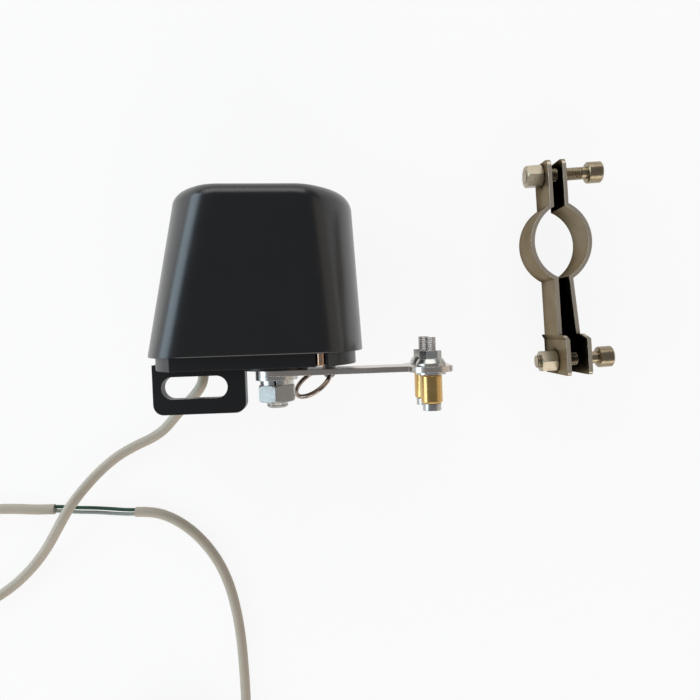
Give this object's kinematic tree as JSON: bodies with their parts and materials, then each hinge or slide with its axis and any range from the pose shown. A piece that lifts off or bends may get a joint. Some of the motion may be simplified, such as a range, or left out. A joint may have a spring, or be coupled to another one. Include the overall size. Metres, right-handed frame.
{
  "type": "ball valve actuator",
  "caption": "Motorised lever actuator for a quarter-turn valve: domed black housing, lever arm with roller fork, pull ring, low voltage lead and loose pipe clamp.",
  "frame": {"origin": "on the flat back that rests on the bench, below the output shaft's line, 30 mm from the base tray's underside towards the dome", "axes": "+X along the lever arm at rest, +Y along the output shaft from the base tray to the dome's roof, +Z out of the flat back, up from the bench"},
  "size_m": [0.2944, 0.2882, 0.0566],
  "materials": {
    "black_shell": "smooth satin black",
    "black_plastic": "moulded matt black",
    "black_rubber": "matt",
    "steel": "bright plated",
    "nickel": "satin nickel plate",
    "brass": "turned",
    "ring_steel": "polished wire",
    "gear_plastic": "moulded acetal",
    "motor_steel": "drawn can",
    "bronze": "oiled bronze",
    "board_green": "solder mask",
    "relay_blue": "moulded",
    "lead_sheath": "off-white vinyl",
    "core_green": "vinyl",
    "core_white": "vinyl"
  },
  "bodies": {
    "frame": {"housing_shell": "black_shell", "gasket": "black_rubber", "base_tray": "black_plastic", "stop_post": "brass", "housing_screws": "steel", "shaft_bush": "bronze", "shaft_seal": "black_rubber", "cord_gland": "black_rubber", "gear_axles": "steel", "plate_pillars": "steel", "gear_plate": "steel", "plate_screws": "steel", "motor_can": "motor_steel", "motor_cap": "black_plastic", "open_switch": "black_plastic", "closed_switch": "black_plastic", "control_board": "board_green", "relay": "relay_blue", "radio_module": "steel", "wire_connector": "core_white", "capacitor": "black_plastic", "clutch_spring": "steel", "clamp_half_left": "nickel", "clamp_bolts": "nickel", "clamp_top_nut": "nickel", "clamp_low_nut": "nickel", "cord_main": "lead_sheath", "core_green": "core_green", "core_white": "core_white", "cord_tail": "lead_sheath", "cord_coil": "lead_sheath", "cord_tie": "black_plastic", "barrel_plug": "black_plastic"},
    "output": {"output_shaft": "steel", "output_gear": "steel", "limit_cam": "gear_plastic", "lever_arm": "steel", "stud_washer": "steel", "spring_washer": "steel", "stud_nut": "steel", "fork_bolts": "steel", "fork_lower_washers": "steel", "fork_upper_washers": "steel", "fork_nuts": "steel"},
    "front_wheel": {"front_roller": "brass"},
    "rear_wheel": {"rear_roller": "brass"},
    "clutch": {"pull_pin": "steel", "clutch_yoke": "steel"},
    "clutch_wheel": {"clutch_gear": "steel"},
    "ring": {"pull_ring": "ring_steel"},
    "idler": {"idler_gear": "gear_plastic"},
    "rotor": {"motor_pinion": "brass", "motor_shaft": "steel"},
    "open_lever": {"open_switch_lever": "steel"},
    "closed_lever": {"closed_switch_lever": "steel"},
    "clamp_jaw": {"clamp_half_right": "nickel"}
  },
  "joints": [
    {"name": "output_turn", "type": "hinge", "parent": "frame", "child": "output", "pos_m": [0, -0.03, 0.0283], "axis": [0, -1, 0], "range_deg": [0, 90]},
    {"name": "front_roller_spin", "type": "hinge", "parent": "output", "child": "front_wheel", "pos_m": [0.0578, -0.04, 0.0378], "axis": [0, -1, 0], "continuous": true},
    {"name": "rear_roller_spin", "type": "hinge", "parent": "output", "child": "rear_wheel", "pos_m": [0.0578, -0.04, 0.0188], "axis": [0, -1, 0], "continuous": true},
    {"name": "clutch_pull", "type": "slide", "parent": "frame", "child": "clutch", "axis": [0, -1, 0], "range_m": [0, 0.0032], "stiffness_N_per_m": 1800, "springref_m": -0.0012, "deforming": ["clutch_spring"]},
    {"name": "clutch_gear_turn", "type": "hinge", "parent": "clutch", "child": "clutch_wheel", "pos_m": [-0.0222, -0.018, 0.02309], "axis": [0, -1, 0], "range_deg": [-337.5, 0]},
    {"name": "ring_swing", "type": "hinge", "parent": "clutch", "child": "ring", "pos_m": [0.02, -0.0344, 0.0133], "axis": [0, 0, 1], "range_deg": [0, 100]},
    {"name": "idler_gear_turn", "type": "hinge", "parent": "frame", "child": "idler", "pos_m": [-0.02448, -0.018, 0.03853], "axis": [0, -1, 0], "range_deg": [0, 1125]},
    {"name": "rotor_turn", "type": "hinge", "parent": "frame", "child": "rotor", "pos_m": [-0.01731, -0.006, 0.02829], "axis": [0, -1, 0], "range_deg": [-4500, 0]},
    {"name": "open_lever_press", "type": "hinge", "parent": "frame", "child": "open_lever", "pos_m": [0.00219, -0.006, 0.01819], "axis": [0, 1, 0], "range_deg": [0, 4], "stiffness_Nm_per_rad": 0.004, "springref_deg": -2.86},
    {"name": "closed_lever_press", "type": "hinge", "parent": "frame", "child": "closed_lever", "pos_m": [0.01011, -0.006, 0.03049], "axis": [0, 1, 0], "range_deg": [0, 4], "stiffness_Nm_per_rad": 0.004, "springref_deg": -2.86},
    {"name": "clamp_spread", "type": "slide", "parent": "frame", "child": "clamp_jaw", "axis": [0.9993, 0.0384, 0], "range_m": [0, 0.0068]}
  ],
  "couplings": [
    {"joint": "clutch_gear_turn", "follows": "output_turn", "ratio": -3.75},
    {"joint": "idler_gear_turn", "follows": "output_turn", "ratio": 12.5},
    {"joint": "rotor_turn", "follows": "output_turn", "ratio": -50}
  ]
}
